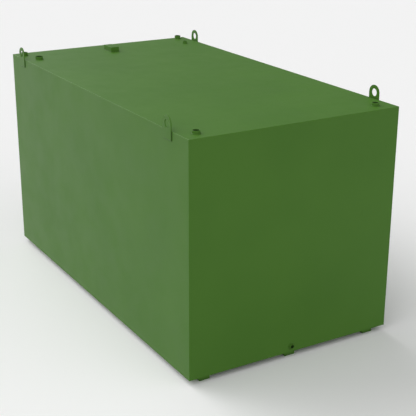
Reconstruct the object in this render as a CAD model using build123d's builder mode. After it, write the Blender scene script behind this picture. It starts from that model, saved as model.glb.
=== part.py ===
from build123d import *
import os

# A bunded oil tank: a closed steel box on three feet with a second, smaller tank inside it.
# X runs from the rear end to the front end, Y from the left side to the right, Z up.
# The origin is on the floor under the middle of the box. All sizes are in millimetres.

# Bund, the outer box
body_length = 2285.0
body_width = 1250.0
body_height = 1250.0
bund_plate = 3.0
edge_round = 2.0

# Feet under the bund, folded channels with closed ends
foot_width = 64.0
foot_height = 33.0
foot_wall = 4.0
foot_bend = 3.0
foot_set_back = 25.0
outer_foot_inset = 102.0

# Inner tank, which holds the oil, on bearers inside the bund
tank_plate = 3.0
tank_side_gap = 58.0
tank_end_gap = 52.0
tank_top_gap = 40.0
bearer_height = 50.0
bearer_width = 60.0
bearer_wall = 4.0
bearer_bend = 5.0
bearer_inset = 300.0

# Lifting lugs, flat plates with a full-round top on the outer faces of the long sides
lug_width = 80.0
lug_plate = 5.0
lug_overlap = 45.0
lug_arris = 1.0
eye_radius = 21.0
eye_height = 32.0
lug_inset_front_left = 201.0
lug_inset_front_right = 206.0
lug_inset_rear_left = 176.0
lug_inset_rear_right = 162.0

# Threaded sockets in three sizes, each with its outer radius and the radius of its thread
inch_socket_radius = 20.0
inch_thread_radius = 15.15
large_socket_radius = 23.5
large_thread_radius = 19.45
small_socket_radius = 14.0
small_thread_radius = 9.3
socket_height = 16.0
tall_socket_height = 20.0
large_socket_height = 18.0
drain_socket_height = 10.0
pipe_clearance = 1.0

# Necks, short pipes from the sockets down through the roof into the inner tank
neck_wall = 2.6
neck_reach = 5.0
weld_gap = 0.3

# Where the sockets stand, from the nearer end and the nearer side
front_socket_end = 80.0
front_left_socket_side = 85.0
front_right_socket_side = 94.0
rear_right_socket_end = 34.0
rear_right_socket_side = 62.0
bund_socket_end = 79.0
bund_socket_side = 50.0
large_socket_end = 232.0
large_socket_side = 88.0
small_socket_end = 220.0
small_socket_side = 108.0
drain_height = 32.0
drain_offset = 6.0

# Inspection box on the roof near the rear end
box_length = 111.0
box_width = 56.0
box_height = 26.0
box_wall = 4.0
box_lid = 4.0
box_corner = 3.0
lid_arris = 1.0
box_inset = 193.5
box_offset = 19.0

# Levels and faces that follow from the sizes above
underside = foot_height
floor_top = underside + bund_plate
roof_top = underside + body_height
roof_under = roof_top - bund_plate
half_length = body_length / 2
half_width = body_width / 2
wall_height = roof_under - floor_top
tank_length = body_length - 2 * (bund_plate + tank_end_gap)
tank_width = body_width - 2 * (bund_plate + tank_side_gap)
tank_bottom = floor_top + bearer_height
tank_roof_top = roof_under - tank_top_gap
tank_roof_under = tank_roof_top - tank_plate
tank_wall_height = tank_roof_under - tank_bottom - tank_plate
neck_end = tank_roof_under - neck_reach
box_x = box_inset - half_length


def level(height):
    """A horizontal plane at a height above the floor."""
    return Plane.XY.offset(height)


def side_face(side, face_y, x=0.0):
    """An upright plane facing out to the left (-1) or the right (1), its own Y upwards."""
    return Plane(origin=(x, side * face_y, 0), x_dir=(-side, 0, 0), z_dir=(0, side, 0))


def end_face(end, face_x, y=0.0):
    """An upright plane facing out to the rear (-1) or the front (1), its own Y upwards."""
    return Plane(origin=(end * face_x, y, 0), x_dir=(0, end, 0), z_dir=(end, 0, 0))


def finish(part, name):
    """Names a finished piece and writes its file."""
    part.label = name
    export_step(part, f"parts/{name}.step")


# Each socket on the roof: place, radius, thread radius, height, and whether it opens into the inner tank
roof_sockets = {
    "socket_front_left": (
        half_length - front_socket_end, front_left_socket_side - half_width,
        inch_socket_radius, inch_thread_radius, socket_height, True),
    "socket_front_right": (
        half_length - front_socket_end, half_width - front_right_socket_side,
        inch_socket_radius, inch_thread_radius, socket_height, True),
    "socket_rear_right": (
        rear_right_socket_end - half_length, half_width - rear_right_socket_side,
        inch_socket_radius, inch_thread_radius, tall_socket_height, False),
    "bund_socket": (
        bund_socket_end - half_length, bund_socket_side - half_width,
        inch_socket_radius, inch_thread_radius, tall_socket_height, False),
    "large_socket": (
        large_socket_end - half_length, large_socket_side - half_width,
        large_socket_radius, large_thread_radius, large_socket_height, True),
    "small_socket": (
        small_socket_end - half_length, half_width - small_socket_side,
        small_socket_radius, small_thread_radius, socket_height, True),
}


def pipe_way(thread_radius):
    """The radius of the way past a socket, wide enough for a pipe screwed into the socket."""
    return thread_radius + pipe_clearance


def neck_radius(thread_radius):
    """The outer radius of the neck under a socket."""
    return pipe_way(thread_radius) + neck_wall


def pipe_socket(plane, socket_radius, thread_radius, height):
    """A socket standing on a plate, a ring with a plain hole for its thread."""
    with BuildPart() as socket:
        with BuildSketch(plane):
            Circle(socket_radius)
            Circle(thread_radius, mode=Mode.SUBTRACT)
        extrude(amount=height)
    return socket.part


def folded_channel(plane, length, width, height, wall, bend):
    """A folded channel that opens away from the plane it lies on, with closed ends."""
    with BuildPart() as channel:
        with BuildSketch(plane):
            Rectangle(length, width)
        extrude(amount=height)
        long_edges = channel.faces().sort_by(Axis(plane.origin, plane.z_dir))[0].edges()
        fillet(long_edges.filter_by(Axis(plane.origin, plane.x_dir)), bend)
        with BuildSketch(plane.offset(wall)):
            Rectangle(length - 2 * wall, width - 2 * wall)
        extrude(amount=height, mode=Mode.SUBTRACT)
    return channel.part


os.makedirs("parts", exist_ok=True)

# Bund base, between the feet and the walls
with BuildPart() as bund_base:
    with BuildSketch(level(underside)):
        Rectangle(body_length, body_width)
    extrude(amount=bund_plate)
    fillet(bund_base.edges().filter_by(Axis.Z), edge_round)
finish(bund_base.part, "bund_base")

# Bund roof, with a hole for each neck, one under each socket of the bund and one under the inspection box
with BuildPart() as bund_roof:
    with BuildSketch(level(roof_under)):
        Rectangle(body_length, body_width)
        for x, y, socket_radius, thread_radius, height, into_tank in roof_sockets.values():
            neck_hole = neck_radius(thread_radius) + weld_gap
            with Locations((x, y)):
                Circle(neck_hole if into_tank else pipe_way(thread_radius), mode=Mode.SUBTRACT)
        with Locations((box_x, -box_offset)):
            Rectangle(box_length - 2 * box_wall, box_width - 2 * box_wall, mode=Mode.SUBTRACT)
    extrude(amount=bund_plate)
    corner_edges = bund_roof.edges().filter_by(Axis.Z).group_by(lambda edge: abs(edge.center().X))[-1]
    fillet(corner_edges, edge_round)
    fillet(bund_roof.faces().sort_by(Axis.Z)[-1].outer_wire().edges(), edge_round)
finish(bund_roof.part, "bund_roof")

# Bund sides, which run the whole length and carry the lugs
for name, side in (("left", -1), ("right", 1)):
    with BuildPart() as bund_side:
        with BuildSketch(side_face(side, half_width - bund_plate)):
            with Locations((0, (floor_top + roof_under) / 2)):
                Rectangle(body_length, wall_height)
        extrude(amount=bund_plate)
        outer_face = bund_side.faces().sort_by(Axis((0, 0, 0), (0, side, 0)))[-1]
        fillet(outer_face.edges().filter_by(Axis.Z), edge_round)
    finish(bund_side.part, f"bund_side_{name}")

# Bund ends, between the sides; the front one has the hole for the drain socket
for name, end in (("rear", -1), ("front", 1)):
    with BuildPart() as bund_end:
        with BuildSketch(end_face(end, half_length - bund_plate)):
            with Locations((0, (floor_top + roof_under) / 2)):
                Rectangle(body_width - 2 * bund_plate, wall_height)
            if name == "front":
                with Locations((-drain_offset, underside + drain_height)):
                    Circle(pipe_way(small_thread_radius), mode=Mode.SUBTRACT)
        extrude(amount=bund_plate)
    finish(bund_end.part, f"bund_end_{name}")

# Feet, under both sides and the middle
foot_offset = half_width - outer_foot_inset
for name, y in (("left", -foot_offset), ("middle", 0.0), ("right", foot_offset)):
    lying = Plane(origin=(0, y, 0), x_dir=(1, 0, 0), z_dir=(0, 0, 1))
    foot_length = body_length - 2 * foot_set_back
    foot = folded_channel(lying, foot_length, foot_width, foot_height, foot_wall, foot_bend)
    finish(foot, f"foot_{name}")

# Bearers across the bund floor, which carry the inner tank
bearer_offset = half_length - bearer_inset
for name, x in (("rear", -bearer_offset), ("middle", 0.0), ("front", bearer_offset)):
    hanging = Plane(origin=(x, 0, tank_bottom), x_dir=(0, 1, 0), z_dir=(0, 0, -1))
    bearer = folded_channel(hanging, tank_width, bearer_width, bearer_height, bearer_wall, bearer_bend)
    finish(bearer, f"bearer_{name}")

# Inner tank base and top; the top has a hole for each neck
with BuildPart() as tank_base:
    with BuildSketch(level(tank_bottom)):
        Rectangle(tank_length, tank_width)
    extrude(amount=tank_plate)
finish(tank_base.part, "tank_base")

with BuildPart() as tank_top:
    with BuildSketch(level(tank_roof_under)):
        Rectangle(tank_length, tank_width)
        for x, y, socket_radius, thread_radius, height, into_tank in roof_sockets.values():
            if into_tank:
                with Locations((x, y)):
                    Circle(neck_radius(thread_radius) + weld_gap, mode=Mode.SUBTRACT)
    extrude(amount=tank_plate)
finish(tank_top.part, "tank_top")

# Inner tank sides and ends
for name, side in (("left", -1), ("right", 1)):
    with BuildPart() as tank_side:
        with BuildSketch(side_face(side, tank_width / 2 - tank_plate)):
            with Locations((0, tank_bottom + tank_plate + tank_wall_height / 2)):
                Rectangle(tank_length, tank_wall_height)
        extrude(amount=tank_plate)
    finish(tank_side.part, f"tank_side_{name}")

for name, end in (("rear", -1), ("front", 1)):
    with BuildPart() as tank_end:
        with BuildSketch(end_face(end, tank_length / 2 - tank_plate)):
            with Locations((0, tank_bottom + tank_plate + tank_wall_height / 2)):
                Rectangle(tank_width - 2 * tank_plate, tank_wall_height)
        extrude(amount=tank_plate)
    finish(tank_end.part, f"tank_end_{name}")

# Lifting lugs, two on each long side: the place of each along the tank and its side
lugs = {
    "lug_front_left": (half_length - lug_inset_front_left, -1),
    "lug_front_right": (half_length - lug_inset_front_right, 1),
    "lug_rear_left": (lug_inset_rear_left - half_length, -1),
    "lug_rear_right": (lug_inset_rear_right - half_length, 1),
}
low = roof_top - lug_overlap
shoulder = roof_top + eye_height
for name, (x, side) in lugs.items():
    with BuildPart() as lug:
        with BuildSketch(side_face(side, half_width, x)):
            with BuildLine():
                Line((-lug_width / 2, shoulder), (-lug_width / 2, low))
                Line((-lug_width / 2, low), (lug_width / 2, low))
                Line((lug_width / 2, low), (lug_width / 2, shoulder))
                RadiusArc((lug_width / 2, shoulder), (-lug_width / 2, shoulder), -lug_width / 2)
            make_face()
            with Locations((0, shoulder)):
                Circle(eye_radius, mode=Mode.SUBTRACT)
        extrude(amount=lug_plate)
        outer_face = lug.faces().sort_by(Axis((0, 0, 0), (0, side, 0)))[-1]
        chamfer(outer_face.outer_wire().edges(), lug_arris)
    finish(lug.part, name)

# Sockets on the roof
for name, (x, y, socket_radius, thread_radius, height, into_tank) in roof_sockets.items():
    upwards = Plane(origin=(x, y, roof_top), z_dir=(0, 0, 1))
    finish(pipe_socket(upwards, socket_radius, thread_radius, height), name)

# Necks under the sockets of the inner tank, up to the roof's top face
with BuildPart() as tank_necks:
    with BuildSketch(level(neck_end)):
        for x, y, socket_radius, thread_radius, height, into_tank in roof_sockets.values():
            if into_tank:
                with Locations((x, y)):
                    Circle(neck_radius(thread_radius))
                    Circle(pipe_way(thread_radius), mode=Mode.SUBTRACT)
    extrude(amount=roof_top - neck_end)
finish(tank_necks.part, "tank_necks")

# Drain socket, low on the front end
forwards = Plane(origin=(half_length, -drain_offset, underside + drain_height), z_dir=(1, 0, 0))
finish(pipe_socket(forwards, small_socket_radius, small_thread_radius, drain_socket_height), "drain_socket")

# Inspection box, an open collar on the roof, and its lid
with BuildPart() as inspection_box:
    with BuildSketch(level(roof_top)):
        with Locations((box_x, -box_offset)):
            RectangleRounded(box_length, box_width, box_corner)
            Rectangle(box_length - 2 * box_wall, box_width - 2 * box_wall, mode=Mode.SUBTRACT)
    extrude(amount=box_height)
finish(inspection_box.part, "inspection_box")

with BuildPart() as inspection_box_lid:
    with BuildSketch(level(roof_top + box_height)):
        with Locations((box_x, -box_offset)):
            RectangleRounded(box_length, box_width, box_corner)
    extrude(amount=box_lid)
    chamfer(inspection_box_lid.faces().sort_by(Axis.Z)[-1].edges(), lid_arris)
finish(inspection_box_lid.part, "inspection_box_lid")
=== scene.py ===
import math

import bmesh
import bpy
from mathutils import Matrix, Vector


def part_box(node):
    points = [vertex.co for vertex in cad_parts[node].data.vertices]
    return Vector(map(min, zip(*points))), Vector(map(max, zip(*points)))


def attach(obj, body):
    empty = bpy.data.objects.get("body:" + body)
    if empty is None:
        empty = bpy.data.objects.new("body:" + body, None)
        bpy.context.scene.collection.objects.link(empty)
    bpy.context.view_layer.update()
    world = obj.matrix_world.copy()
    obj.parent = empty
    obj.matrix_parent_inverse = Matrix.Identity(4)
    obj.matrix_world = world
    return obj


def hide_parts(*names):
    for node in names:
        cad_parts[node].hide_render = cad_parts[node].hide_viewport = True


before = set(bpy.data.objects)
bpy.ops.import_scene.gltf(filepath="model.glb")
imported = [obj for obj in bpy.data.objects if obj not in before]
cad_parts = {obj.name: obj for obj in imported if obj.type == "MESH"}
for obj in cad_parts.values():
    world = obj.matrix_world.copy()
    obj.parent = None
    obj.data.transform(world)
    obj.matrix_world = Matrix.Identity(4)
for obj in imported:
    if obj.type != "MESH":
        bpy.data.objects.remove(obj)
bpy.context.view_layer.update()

MM = 0.001
QUARTER_TURN = math.radians(90.0)
HALF_TURN = math.radians(180.0)
FULL_TURN = math.radians(360.0)

# Camera at the photograph's angle, in metres; the lens is for a 36 mm wide sensor
CAMERA_PLACE = Vector((4.9519, -2.7814, 2.5445))
CAMERA_AIM = Vector((0.7492, -0.2874, 0.7675))
CAMERA_ROLL = math.radians(0.238)
CAMERA_LENS = 86.26
SENSOR_WIDTH = 36.0

# Colours in linear light
ENAMEL_GREEN = (0.0700, 0.1850, 0.0210, 1.0)
ENAMEL_DEEPER = (0.0640, 0.1740, 0.0190, 1.0)
# Darker enamel for the lug welds, standing in for the shade along the lugs' edges
LUG_WELD_SHADE_GREEN = (0.0420, 0.1120, 0.0130, 1.0)
LUG_WELD_SHADE_DEEPER = (0.0340, 0.0900, 0.0105, 1.0)
# Dark green painted into crevices and recesses as their shade
PAINTED_CREASE_SHADE = (0.0180, 0.0480, 0.0060, 1.0)
INNER_STEEL = (0.30, 0.29, 0.28, 1.0)
INNER_STEEL_DARK = (0.16, 0.155, 0.155, 1.0)
# Dark steel of the threads, its darkness also painting the shade deep in the bore
THREAD_STEEL_AND_BORE_SHADE = (0.045, 0.043, 0.038, 1.0)
OVERSPRAY_GREEN = (0.0200, 0.0650, 0.0060, 1.0)
FLOOR_WHITE = (0.90, 0.90, 0.90, 1.0)
FLOOR_BOUNCE = (0.40, 0.40, 0.40, 1.0)
SKY_WHITE = (1.0, 1.0, 1.0, 1.0)

# Patterns: cells a metre, detail, and the range of the noise that makes the whole change
DRIFT = (2.2, 2.0, (0.35, 0.65))
POLISH = (7.0, 4.0, (0.3, 0.7))
MILL_SCALE = (9.0, 6.0, (0.3, 0.7))
OVERSPRAY = (90.0, 3.0, (0.25, 0.45))

# Bumps: cells a metre, detail, height and strength
SHEET_WAVES = (1.6, 1.0, 2.0 * MM, 0.25)
ORANGE_PEEL = (420.0, 2.0, 0.3 * MM, 0.10)
MILL_GRAIN = (60.0, 5.0, 0.3 * MM, 0.15)

# Roughness from its smoothest to its dullest, and how strongly each finish shines
ENAMEL_ROUGHNESS = (0.36, 0.44)
STEEL_ROUGHNESS = (0.45, 0.65)
THREAD_ROUGHNESS = (0.40, 0.55)
FLOOR_ROUGHNESS = 0.9
ENAMEL_SHINE = 0.20
THREAD_SHINE = 0.25
WHOLE = (0.0, 1.0)
WHOLE_REVERSED = (1.0, 0.0)

# Painted shade in crevices: how far apart surfaces still darken each other's colour, and from
# how shut in to how open
CREASE_SHADE_REACH = 12.0 * MM
CREASE_SHADE_RANGE = (0.15, 0.95)

# Soft lamps: the way to each, its share of full light on a face turned to it, and its breadth
LAMPS = {
    "key_lamp": ((-1.2, -0.6, 1.0), 0.42, 60.0),
    "rear_lamp": ((-1.3, -0.2, 0.9), 0.26, 60.0),
    "side_lamp": ((0.2, -1.0, 1.0), 0.29, 60.0),
}
LAMP_DISTANCE = 5.0
SKY_BRIGHTNESS = (0.20, 1.11)

# The floor reaches far enough to fill the view from every side
FLOOR_SIZE = 200.0

# Welds: the leg of the bead, the step between ripples, and the fineness of the skin over them
WELD_LEG = 3.5 * MM
SMALL_WELD_LEG = 2.5 * MM
WELD_STEP = 2.4 * MM
WELD_SKIN = 0.8 * MM
WELD_SUNK = 0.3 * MM
RIPPLE_THIN = 0.55
RIPPLE_SEGMENTS = 14
RIPPLE_RINGS = 10
CORNER_EASE = 4.0 * MM
FOOT_WELD_RETURN = 30.0 * MM
FOOT_STITCH = 40.0 * MM
FOOT_STITCHES = 7

# Pipe threads: radius at the crest, pitch and depth
INCH_THREAD = (15.15 * MM, 2.309 * MM, 1.479 * MM)
LARGE_THREAD = (19.45 * MM, 2.309 * MM, 1.479 * MM)
SMALL_THREAD = (9.3 * MM, 1.814 * MM, 1.162 * MM)
CREST_SHARE = 0.15
ROOT_SHARE = 0.85
THREAD_SUNK = 0.15 * MM
THREAD_SKIN = 0.05 * MM
THREAD_STEPS = 48

# Each socket's thread and the leg of its weld
SOCKETS = {
    "socket_front_left": (INCH_THREAD, WELD_LEG),
    "socket_front_right": (INCH_THREAD, WELD_LEG),
    "socket_rear_right": (INCH_THREAD, WELD_LEG),
    "bund_socket": (INCH_THREAD, WELD_LEG),
    "large_socket": (LARGE_THREAD, WELD_LEG),
    "small_socket": (SMALL_THREAD, WELD_LEG),
    "drain_socket": (SMALL_THREAD, SMALL_WELD_LEG),
}
SOCKET_SIDES = 96
LIP_ROUND = 1.2 * MM
LIP_SEGMENTS = 4
MOUTH_SINK = 1.0 * MM
SMOOTH_BELOW = math.radians(35.0)

# How near an edge must lie to a face or a wall to belong to it
NEAR = 0.1 * MM

INNER_NODES = ("tank_", "bearer_")
LUGS = ("lug_rear_left", "lug_rear_right", "lug_front_left", "lug_front_right")
FEET = ("foot_left", "foot_middle", "foot_right")


def new_material(name):
    """A material with its node tree and its shader."""
    material = bpy.data.materials.new(name)
    material.use_nodes = True
    tree = material.node_tree
    return material, tree, tree.nodes["Principled BSDF"]


def noise(tree, place, cells, detail):
    """Noise on the piece's own coordinates."""
    made = tree.nodes.new("ShaderNodeTexNoise")
    made.inputs["Scale"].default_value = cells
    made.inputs["Detail"].default_value = detail
    tree.links.new(place.outputs["Object"], made.inputs["Vector"])
    return made.outputs["Fac"]


def spread(tree, source, before, after):
    """Stretches a value from one range to another."""
    made = tree.nodes.new("ShaderNodeMapRange")
    made.inputs["From Min"].default_value, made.inputs["From Max"].default_value = before
    made.inputs["To Min"].default_value, made.inputs["To Max"].default_value = after
    tree.links.new(source, made.inputs["Value"])
    return made.outputs["Result"]


def pattern(tree, place, cells, detail, reach, after=WHOLE):
    """Noise whose middle range is stretched over a whole change."""
    return spread(tree, noise(tree, place, cells, detail), reach, after)


def two_colours(tree, amount, first, second):
    """A colour between two, by an amount from 0 to 1; the first may come from another node."""
    made = tree.nodes.new("ShaderNodeMix")
    made.data_type = "RGBA"
    if isinstance(first, bpy.types.NodeSocket):
        tree.links.new(first, made.inputs[6])
    else:
        made.inputs[6].default_value = first
    made.inputs[7].default_value = second
    tree.links.new(amount, made.inputs[0])
    return made.outputs[2]


def crease_shade_amount(tree):
    """How far a place is shut in by surfaces near it, from 0 to 1: the amount of shade painted
    into the colour.
    """
    made = tree.nodes.new("ShaderNodeAmbientOcclusion")
    made.inputs["Distance"].default_value = CREASE_SHADE_REACH
    return spread(tree, made.outputs["AO"], CREASE_SHADE_RANGE, WHOLE_REVERSED)


def bump(tree, place, cells, detail, height, strength, under=None):
    """Raises the surface by noise, over another bump if there is one."""
    made = tree.nodes.new("ShaderNodeBump")
    made.inputs["Strength"].default_value = strength
    made.inputs["Distance"].default_value = height
    tree.links.new(noise(tree, place, cells, detail), made.inputs["Height"])
    if under is not None:
        tree.links.new(under, made.inputs["Normal"])
    return made.outputs["Normal"]


def enamel(name, light, deep):
    """Green enamel sprayed on sheet steel, with colour drift, shade painted into crevices and
    recesses, and slight waves.
    """
    material, tree, shader = new_material(name)
    place = tree.nodes.new("ShaderNodeTexCoord")
    colour = two_colours(tree, pattern(tree, place, *DRIFT), light, deep)
    # Paints shade into crevices and recesses by darkening the colour where nearby surfaces shut
    # a place in
    crease_shaded_colour = two_colours(tree, crease_shade_amount(tree), colour, PAINTED_CREASE_SHADE)
    tree.links.new(crease_shaded_colour, shader.inputs["Base Color"])
    polish = pattern(tree, place, *POLISH, ENAMEL_ROUGHNESS)
    tree.links.new(polish, shader.inputs["Roughness"])
    shader.inputs["Specular IOR Level"].default_value = ENAMEL_SHINE
    waves = bump(tree, place, *SHEET_WAVES)
    tree.links.new(bump(tree, place, *ORANGE_PEEL, waves), shader.inputs["Normal"])
    return material


def bare_steel():
    """Bare mill-scaled steel of the inner tank."""
    material, tree, shader = new_material("inner_steel")
    place = tree.nodes.new("ShaderNodeTexCoord")
    scale = pattern(tree, place, *MILL_SCALE)
    colour = two_colours(tree, scale, INNER_STEEL, INNER_STEEL_DARK)
    tree.links.new(colour, shader.inputs["Base Color"])
    tree.links.new(spread(tree, scale, WHOLE, STEEL_ROUGHNESS), shader.inputs["Roughness"])
    shader.inputs["Metallic"].default_value = 1.0
    tree.links.new(bump(tree, place, *MILL_GRAIN), shader.inputs["Normal"])
    return material


def oiled_and_shaded_thread_steel():
    """Dark oiled steel of the cut threads, with green overspray on most of it; its darkness
    also paints the shade deep in the bore.
    """
    material, tree, shader = new_material("thread_steel")
    place = tree.nodes.new("ShaderNodeTexCoord")
    spray = pattern(tree, place, *OVERSPRAY)
    colour = two_colours(tree, spray, THREAD_STEEL_AND_BORE_SHADE, OVERSPRAY_GREEN)
    tree.links.new(colour, shader.inputs["Base Color"])
    tree.links.new(spread(tree, spray, WHOLE, THREAD_ROUGHNESS), shader.inputs["Roughness"])
    shader.inputs["Specular IOR Level"].default_value = THREAD_SHINE
    return material


def pale_floor():
    """Looks nearly white, but throws less light back on the tank than such a white would."""
    material, tree, shader = new_material("pale_floor")
    light_path = tree.nodes.new("ShaderNodeLightPath")
    seen = light_path.outputs["Is Camera Ray"]
    for ray in ("Is Glossy Ray", "Is Transmission Ray"):
        either = tree.nodes.new("ShaderNodeMath")
        either.operation = "MAXIMUM"
        tree.links.new(seen, either.inputs[0])
        tree.links.new(light_path.outputs[ray], either.inputs[1])
        seen = either.outputs[0]
    colour = two_colours(tree, seen, FLOOR_BOUNCE, FLOOR_WHITE)
    tree.links.new(colour, shader.inputs["Base Color"])
    shader.inputs["Roughness"].default_value = FLOOR_ROUGHNESS
    shader.inputs["Specular IOR Level"].default_value = 0.0
    return material


def paint(thing, material):
    """Gives a piece one material."""
    thing.data.materials.clear()
    thing.data.materials.append(material)


def select_only(*things):
    """Selects these objects alone, the last of them active."""
    bpy.ops.object.select_all(action="DESELECT")
    for thing in things:
        thing.select_set(True)
        bpy.context.view_layer.objects.active = thing


def apply_modifiers(thing):
    """Applies every modifier on a piece, in order."""
    select_only(thing)
    for modifier in list(thing.modifiers):
        bpy.ops.object.modifier_apply(modifier=modifier.name)


def settle(thing):
    """Puts a piece's place, turn and scale into its mesh."""
    select_only(thing)
    bpy.ops.object.transform_apply(location=True, rotation=True, scale=True)


def stand(piece, place, turn=(0.0, 0.0, 0.0)):
    """Turns a piece, moves it to its place and settles it there."""
    piece.rotation_euler = turn
    piece.location = place
    settle(piece)


def finish_piece(piece, name, material, slot, *replaced):
    """Names and paints a piece, lets it ride on the body and hides the parts it stands in for.
    """
    piece.name = name
    paint(piece, material)
    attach(piece, "root")
    if replaced:
        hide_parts(*replaced)


def cut_off(thing, place, normal):
    """Cuts away all of a piece that lies behind a plane and closes the cut."""
    select_only(thing)
    bpy.ops.object.mode_set(mode="EDIT")
    bpy.ops.mesh.select_all(action="SELECT")
    bpy.ops.mesh.bisect(plane_co=place, plane_no=normal, use_fill=True, clear_inner=True)
    bpy.ops.object.mode_set(mode="OBJECT")


def choose(thing, kind, test):
    """Selects the faces or the edges of a piece whose middle passes a test, in edit mode."""
    bpy.ops.object.mode_set(mode="OBJECT")
    select_only(thing)
    bpy.ops.object.mode_set(mode="EDIT")
    bpy.ops.mesh.select_mode(type=kind)
    bpy.ops.mesh.select_all(action="DESELECT")
    shape = bmesh.from_edit_mesh(thing.data)
    for element in shape.faces if kind == "FACE" else shape.edges:
        middle = sum((corner.co for corner in element.verts), Vector()) / len(element.verts)
        element.select_set(test(middle))
    bmesh.update_edit_mesh(thing.data)


def path_along(corners, closed=False):
    """A curve in the XY plane along straight runs, with its corners eased."""
    points = []
    for index, corner in enumerate(corners):
        here = Vector(corner)
        if not closed and index in (0, len(corners) - 1):
            points.append(here)
            continue
        before = (Vector(corners[index - 1]) - here).normalized()
        after = (Vector(corners[(index + 1) % len(corners)]) - here).normalized()
        points += [here + before * CORNER_EASE, here, here + after * CORNER_EASE]
    curve = bpy.data.curves.new("weld_path", "CURVE")
    curve.dimensions = "3D"
    line = curve.splines.new("NURBS")
    line.points.add(len(points) - 1)
    for spot, point in zip(line.points, points):
        spot.co = (point.x, point.y, 0.0, 1.0)
    line.use_cyclic_u = closed
    line.use_endpoint_u = not closed
    line.order_u = 3
    path = bpy.data.objects.new("weld_path", curve)
    bpy.context.collection.objects.link(path)
    return path


def path_round(radius):
    """A round curve in the XY plane."""
    bpy.ops.curve.primitive_bezier_circle_add(radius=radius)
    return bpy.context.object


def weld_bead(path, leg=WELD_LEG):
    """A bead along a curve in the XY plane: ripples in a row under one skin, cut flat below."""
    bpy.ops.mesh.primitive_uv_sphere_add(
        segments=RIPPLE_SEGMENTS, ring_count=RIPPLE_RINGS, radius=leg)
    bead = bpy.context.object
    bpy.ops.object.mode_set(mode="EDIT")
    bpy.ops.transform.resize(value=(RIPPLE_THIN, 1.0, 1.0))
    bpy.ops.object.mode_set(mode="OBJECT")
    row = bead.modifiers.new("row", "ARRAY")
    row.fit_type = "FIT_CURVE"
    row.curve = path
    row.use_relative_offset = False
    row.use_constant_offset = True
    row.constant_offset_displace = (WELD_STEP, 0.0, 0.0)
    bend = bead.modifiers.new("bend", "CURVE")
    bend.object = path
    skin = bead.modifiers.new("skin", "REMESH")
    skin.mode = "VOXEL"
    skin.voxel_size = WELD_SKIN
    skin.use_smooth_shade = True
    apply_modifiers(bead)
    bpy.data.objects.remove(path)
    cut_off(bead, (0.0, 0.0, -WELD_SUNK), (0.0, 0.0, 1.0))
    return bead


def lug_weld(half_width, drop):
    """The weld down both upright edges and along the bottom of a lug."""
    return weld_bead(path_along([
        (-half_width, drop), (-half_width, 0.0), (half_width, 0.0), (half_width, drop)]))


def box_weld(length, width):
    """The weld round the foot of a box."""
    end = length / 2
    side = width / 2
    corners = [(-end, -side), (end, -side), (end, side), (-end, side)]
    return weld_bead(path_along(corners, closed=True), SMALL_WELD_LEG)


def foot_weld(length, width):
    """The welds of a foot under the base: one round each end, and stitches along both sides."""
    end = length / 2
    side = width / 2
    return_end = end - FOOT_WELD_RETURN
    end_welds = weld_bead(path_along([
        (return_end, -side), (end, -side), (end, side), (return_end, side)]))
    end_welds.modifiers.new("other_end", "MIRROR")
    apply_modifiers(end_welds)
    stitches = weld_bead(path_along([(-FOOT_STITCH / 2, side), (FOOT_STITCH / 2, side)]))
    gap = (length - 2 * FOOT_WELD_RETURN) / (FOOT_STITCHES + 1)
    run = stitches.modifiers.new("run", "ARRAY")
    run.count = FOOT_STITCHES
    run.use_relative_offset = False
    run.use_constant_offset = True
    run.constant_offset_displace = (gap, 0.0, 0.0)
    apply_modifiers(stitches)
    stand(stitches, (-gap * (FOOT_STITCHES - 1) / 2, 0.0, 0.0))
    both_sides = stitches.modifiers.new("both_sides", "MIRROR")
    both_sides.use_axis = (False, True, False)
    apply_modifiers(stitches)
    select_only(stitches, end_welds)
    bpy.ops.object.join()
    return end_welds


def thread_ridge(thread_radius, top, pitch, depth):
    """The ridge of a pipe thread on the wall of a bore, wound round Z from the XY plane up."""
    bpy.ops.mesh.primitive_plane_add(size=1.0, rotation=(QUARTER_TURN, 0.0, 0.0))
    ridge = bpy.context.object
    settle(ridge)
    for corner in ridge.data.vertices:
        at_crest = corner.co.x < 0.0
        half_width = pitch * (CREST_SHARE if at_crest else ROOT_SHARE) / 2
        corner.co.z = pitch / 2 + math.copysign(half_width, corner.co.z)
        corner.co.x = thread_radius if at_crest else thread_radius + depth + THREAD_SUNK
    select_only(ridge)
    bpy.ops.object.mode_set(mode="EDIT")
    bpy.ops.mesh.select_all(action="SELECT")
    bpy.ops.mesh.delete(type="ONLY_FACE")
    bpy.ops.object.mode_set(mode="OBJECT")
    turns = ridge.modifiers.new("turns", "SCREW")
    turns.angle = FULL_TURN
    turns.screw_offset = pitch
    turns.iterations = int((top - pitch) / pitch)
    turns.steps = THREAD_STEPS
    turns.render_steps = THREAD_STEPS
    turns.use_merge_vertices = True
    apply_modifiers(ridge)
    bpy.ops.object.mode_set(mode="EDIT")
    bpy.ops.mesh.select_mode(type="EDGE")
    bpy.ops.mesh.select_all(action="DESELECT")
    bpy.ops.mesh.select_non_manifold()
    bpy.ops.mesh.edge_face_add()
    bpy.ops.mesh.select_all(action="SELECT")
    bpy.ops.mesh.normals_make_consistent(inside=False)
    bpy.ops.object.mode_set(mode="OBJECT")
    return ridge


def tube(outer, inner, height):
    """A tube standing on the XY plane."""
    bpy.ops.mesh.primitive_cylinder_add(
        vertices=SOCKET_SIDES, radius=outer, depth=height, location=(0.0, 0.0, height / 2))
    made = bpy.context.object
    settle(made)
    choose(made, "FACE", lambda middle: middle.xy.length < inner / 2)
    bpy.ops.mesh.inset(thickness=outer - inner)
    bpy.ops.mesh.bridge_edge_loops()
    bpy.ops.object.mode_set(mode="OBJECT")
    return made


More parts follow.
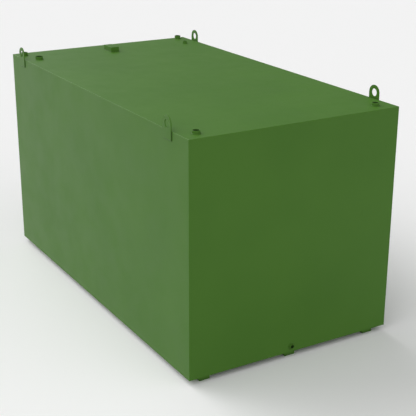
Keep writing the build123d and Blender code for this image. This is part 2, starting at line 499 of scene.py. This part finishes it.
def socket_body(radius, bore, height):
    """The body of a socket, with a rounded lip and a countersunk mouth."""
    socket = tube(radius, bore, height)
    top = height - NEAR
    wall_middle = (radius + bore) / 2
    choose(socket, "EDGE", lambda middle: middle.z > top and middle.xy.length > wall_middle)
    bpy.ops.mesh.bevel(offset=LIP_ROUND, segments=LIP_SEGMENTS, affect="EDGES")
    choose(socket, "EDGE", lambda middle: middle.z > top and middle.xy.length < bore + NEAR)
    bpy.ops.mesh.bevel(offset=MOUTH_SINK, segments=1, affect="EDGES")
    bpy.ops.object.mode_set(mode="OBJECT")
    bpy.ops.object.shade_smooth_by_angle(angle=SMOOTH_BELOW)
    return socket


def cut_thread(thread_radius, bore, top, pitch, depth):
    """The thread in a socket's bore: its ridge and the thin skin of steel between the turns."""
    thread = tube(bore + THREAD_SUNK, bore - THREAD_SKIN, top)
    ridge = thread_ridge(thread_radius, top, pitch, depth)
    select_only(ridge, thread)
    bpy.ops.object.join()
    bpy.ops.object.shade_smooth_by_angle(angle=SMOOTH_BELOW)
    return thread


green = enamel("green_enamel", ENAMEL_GREEN, ENAMEL_DEEPER)
# Enamel darkened to paint shade on the lug welds
lug_weld_shaded_enamel = enamel("shaded_lug_weld_enamel", LUG_WELD_SHADE_GREEN, LUG_WELD_SHADE_DEEPER)
steel = bare_steel()
thread_steel = oiled_and_shaded_thread_steel()
for name, cad_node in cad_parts.items():
    paint(cad_node, steel if name.startswith(INNER_NODES) else green)

roof_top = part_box("bund_roof")[1][2]
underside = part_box("bund_base")[0][2]

# Sockets, each with its thread and its weld; the drain's points forwards, the others up
for name, ((thread_radius, pitch, depth), leg) in SOCKETS.items():
    low, high = (Vector(corner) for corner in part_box(name))
    forwards = name == "drain_socket"
    height = (high - low).x if forwards else (high - low).z
    radius = (high - low).y / 2
    bore = thread_radius + depth
    body = socket_body(radius, bore, height)
    thread = cut_thread(thread_radius, bore, height - MOUTH_SINK, pitch, depth)
    bead = weld_bead(path_round(radius), leg)
    place = (low + high) / 2
    if forwards:
        place.x = low.x
    else:
        place.z = low.z
    for piece in (body, thread, bead):
        stand(piece, place, (0.0, QUARTER_TURN if forwards else 0.0, 0.0))
    finish_piece(body, "threaded_" + name, green, "green_paint", name)
    finish_piece(thread, "thread_" + name, thread_steel, "inner_steel")
    finish_piece(bead, "weld_" + name, green, "green_paint")

# Welds of the lugs, in a darker green that paints the shade along the lugs' edges
for name in LUGS:
    low, high = (Vector(corner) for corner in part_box(name))
    on_left = name.endswith("left")
    bead = lug_weld((high.x - low.x) / 2, roof_top - low.z - CORNER_EASE)
    stand(bead, ((low.x + high.x) / 2, high.y if on_left else low.y, low.z),
          (QUARTER_TURN, 0.0, 0.0 if on_left else HALF_TURN))
    finish_piece(bead, "weld_" + name, lug_weld_shaded_enamel, "green_paint")

# Weld round the foot of the inspection box
low, high = (Vector(corner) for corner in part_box("inspection_box"))
bead = box_weld(high.x - low.x, high.y - low.y)
stand(bead, ((low.x + high.x) / 2, (low.y + high.y) / 2, low.z))
finish_piece(bead, "weld_inspection_box", green, "green_paint")

# Welds of the feet, hanging under the base
for name in FEET:
    low, high = (Vector(corner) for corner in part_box(name))
    bead = foot_weld(high.x - low.x, high.y - low.y)
    stand(bead, (0.0, (low.y + high.y) / 2, underside), (HALF_TURN, 0.0, 0.0))
    finish_piece(bead, "weld_" + name, green, "green_paint")

# Floor
bpy.ops.mesh.primitive_plane_add(size=FLOOR_SIZE, location=(0.0, 0.0, 0.0))
floor = bpy.context.object
floor.name = "floor"
paint(floor, pale_floor())

# World: soft even light, paler towards the front
world = bpy.data.worlds.new("studio")
bpy.context.scene.world = world
world.use_nodes = True
sky = world.node_tree
background = sky.nodes["Background"]
direction = sky.nodes.new("ShaderNodeTexCoord")
along = sky.nodes.new("ShaderNodeSeparateXYZ")
sky.links.new(direction.outputs["Generated"], along.inputs["Vector"])
brightness = spread(sky, along.outputs["X"], WHOLE, SKY_BRIGHTNESS)
sky.links.new(brightness, background.inputs["Strength"])
background.inputs["Color"].default_value = SKY_WHITE

# Broad soft lamps, so far away that their light is even
for name, (way, share, breadth) in LAMPS.items():
    bpy.ops.object.light_add(type="SUN", location=Vector(way) * LAMP_DISTANCE)
    lamp = bpy.context.object
    lamp.name = name
    lamp.data.energy = share * math.pi
    lamp.data.angle = math.radians(breadth)
    lamp.rotation_euler = Vector(way).to_track_quat("Z", "Y").to_euler()

# Camera
bpy.ops.object.camera_add(location=CAMERA_PLACE)
camera = bpy.context.object
camera.name = "camera"
look = (CAMERA_AIM - CAMERA_PLACE).to_track_quat("-Z", "Y").to_matrix().to_4x4()
roll = Matrix.Rotation(CAMERA_ROLL, 4, "Z")
camera.matrix_world = Matrix.Translation(CAMERA_PLACE) @ look @ roll
camera.data.lens = CAMERA_LENS
camera.data.sensor_width = SENSOR_WIDTH
bpy.context.scene.camera = camera

bpy.context.scene.view_settings.view_transform = "Standard"
